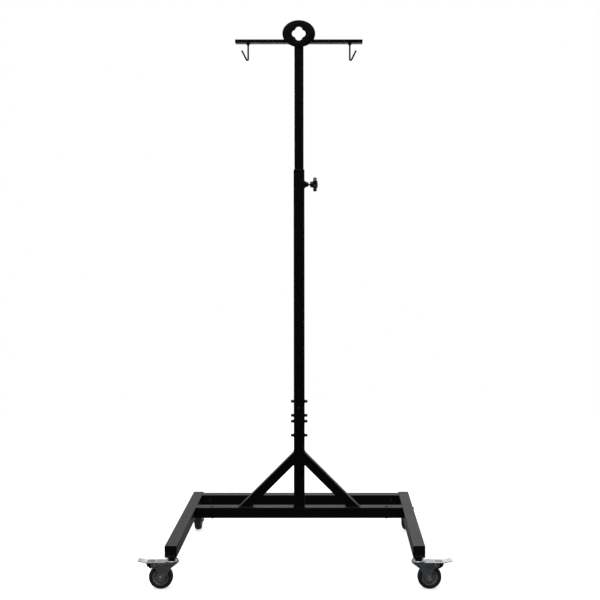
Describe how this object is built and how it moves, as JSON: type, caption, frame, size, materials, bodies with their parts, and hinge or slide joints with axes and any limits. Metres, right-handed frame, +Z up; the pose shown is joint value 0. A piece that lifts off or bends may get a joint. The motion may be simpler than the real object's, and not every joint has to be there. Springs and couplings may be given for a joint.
{
  "type": "mobile infusion stand",
  "caption": "Tall wheeled stand: square-tube base with braces, spliced post, telescoping mast with side clamp knob, crossarm with hooks and an oval eye plate.",
  "frame": {"origin": "on the floor, at the middle of the stand's box in plan", "axes": "+Z up along the post, -Y towards the front ends of the legs, +X towards the clamp knob"},
  "size_m": [0.989, 0.6636, 1.869],
  "materials": {
    "black_powder_coat": "satin black powder coat with a fine orange-peel texture",
    "black_plastic": "moulded black plastic",
    "black_nylon": "black nylon",
    "black_zinc": "black zinc plating on steel",
    "plain_steel": "plain steel, hidden inside",
    "bright_zinc": "bright zinc plating",
    "fork_zinc": "zinc-plated pressed steel, slightly dulled",
    "rim_grey": "moulded grey plastic",
    "tyre_rubber": "dark grey rubber tread",
    "brake_rubber": "black rubber block",
    "slug_brass": "turned brass"
  },
  "bodies": {
    "stand": {"left_leg": "black_powder_coat", "right_leg": "black_powder_coat", "leg_spigots": "black_powder_coat", "leg_end_plugs": "black_plastic", "leg_inserts": "plain_steel", "front_crossbar": "black_powder_coat", "rear_crossbar": "black_powder_coat", "bar_bolts": "black_zinc", "bar_nuts": "black_zinc", "left_brace": "black_powder_coat", "right_brace": "black_powder_coat", "lower_post": "black_powder_coat", "splice_sleeve": "plain_steel", "upper_post": "black_powder_coat", "splice_screws": "black_zinc", "splice_washers": "black_zinc", "post_lock_screw": "black_zinc", "clamp_boss": "black_powder_coat", "post_bush": "black_nylon", "caster_stems": "bright_zinc", "stem_nuts": "black_zinc", "swivel_caps": "bright_zinc", "swivel_balls": "bright_zinc"},
    "mast": {"mast_tube": "black_powder_coat", "mast_foot_plug": "black_nylon", "mast_top_cap": "black_powder_coat", "left_arm": "black_powder_coat", "right_arm": "black_powder_coat", "head_plate": "black_powder_coat", "left_hook": "black_powder_coat", "right_hook": "black_powder_coat", "hook_nuts": "black_zinc"},
    "clamp_slide": {"clamp_slug": "slug_brass"},
    "clamp_turn": {"clamp_screw": "bright_zinc", "clamp_knob": "black_plastic"},
    "front_left_fork_body": {"front_left_fork": "fork_zinc", "front_left_axle": "bright_zinc", "left_pedal_pin": "bright_zinc"},
    "front_left_wheel": {"front_left_rim": "rim_grey", "front_left_tyre": "tyre_rubber"},
    "front_right_fork_body": {"front_right_fork": "fork_zinc", "front_right_axle": "bright_zinc", "right_pedal_pin": "bright_zinc"},
    "front_right_wheel": {"front_right_rim": "rim_grey", "front_right_tyre": "tyre_rubber"},
    "rear_left_fork_body": {"rear_left_fork": "fork_zinc", "rear_left_axle": "bright_zinc"},
    "rear_left_wheel": {"rear_left_rim": "rim_grey", "rear_left_tyre": "tyre_rubber"},
    "rear_right_fork_body": {"rear_right_fork": "fork_zinc", "rear_right_axle": "bright_zinc"},
    "rear_right_wheel": {"rear_right_rim": "rim_grey", "rear_right_tyre": "tyre_rubber"},
    "left_pedal_body": {"left_pedal": "bright_zinc", "left_brake_shoe": "brake_rubber"},
    "right_pedal_body": {"right_pedal": "bright_zinc", "right_brake_shoe": "brake_rubber"}
  },
  "joints": [
    {"name": "mast_slide", "type": "slide", "parent": "stand", "child": "mast", "axis": [0, 0, 1], "range_m": [-0.42, 0.24]},
    {"name": "clamp_feed", "type": "slide", "parent": "stand", "child": "clamp_slide", "axis": [1, 0, 0], "range_m": [0, 0.0025]},
    {"name": "clamp_knob_turn", "type": "hinge", "parent": "clamp_slide", "child": "clamp_turn", "pos_m": [0.05, 0.10525, 1.293], "axis": [1, 0, 0], "range_deg": [0, 720]},
    {"name": "front_left_swivel", "type": "hinge", "parent": "stand", "child": "front_left_fork_body", "pos_m": [-0.388, -0.30975, 0.0835], "axis": [0, 0, 1], "continuous": true},
    {"name": "front_left_roll", "type": "hinge", "parent": "front_left_fork_body", "child": "front_left_wheel", "pos_m": [-0.422, -0.30975, 0.0375], "axis": [0, -1, 0], "continuous": true},
    {"name": "front_right_swivel", "type": "hinge", "parent": "stand", "child": "front_right_fork_body", "pos_m": [0.388, -0.30975, 0.0835], "axis": [0, 0, 1], "continuous": true},
    {"name": "front_right_roll", "type": "hinge", "parent": "front_right_fork_body", "child": "front_right_wheel", "pos_m": [0.422, -0.30975, 0.0375], "axis": [0, 1, 0], "continuous": true},
    {"name": "rear_left_swivel", "type": "hinge", "parent": "stand", "child": "rear_left_fork_body", "pos_m": [-0.388, 0.26025, 0.0835], "axis": [0, 0, 1], "continuous": true},
    {"name": "rear_left_roll", "type": "hinge", "parent": "rear_left_fork_body", "child": "rear_left_wheel", "pos_m": [-0.388, 0.29425, 0.0375], "axis": [-1, 0, 0], "continuous": true},
    {"name": "rear_right_swivel", "type": "hinge", "parent": "stand", "child": "rear_right_fork_body", "pos_m": [0.388, 0.26025, 0.0835], "axis": [0, 0, 1], "continuous": true},
    {"name": "rear_right_roll", "type": "hinge", "parent": "rear_right_fork_body", "child": "rear_right_wheel", "pos_m": [0.40237, 0.29106, 0.0375], "axis": [-0.9063, 0.4226, 0], "continuous": true},
    {"name": "left_pedal_press", "type": "hinge", "parent": "front_left_fork_body", "child": "left_pedal_body", "pos_m": [-0.44, -0.30975, 0.077], "axis": [0, -1, 0], "range_deg": [0, 9]},
    {"name": "right_pedal_press", "type": "hinge", "parent": "front_right_fork_body", "child": "right_pedal_body", "pos_m": [0.44, -0.30975, 0.077], "axis": [0, 1, 0], "range_deg": [0, 9]}
  ],
  "couplings": [
    {"joint": "clamp_knob_turn", "follows": "clamp_feed", "rad_per_m": 5026.5}
  ]
}
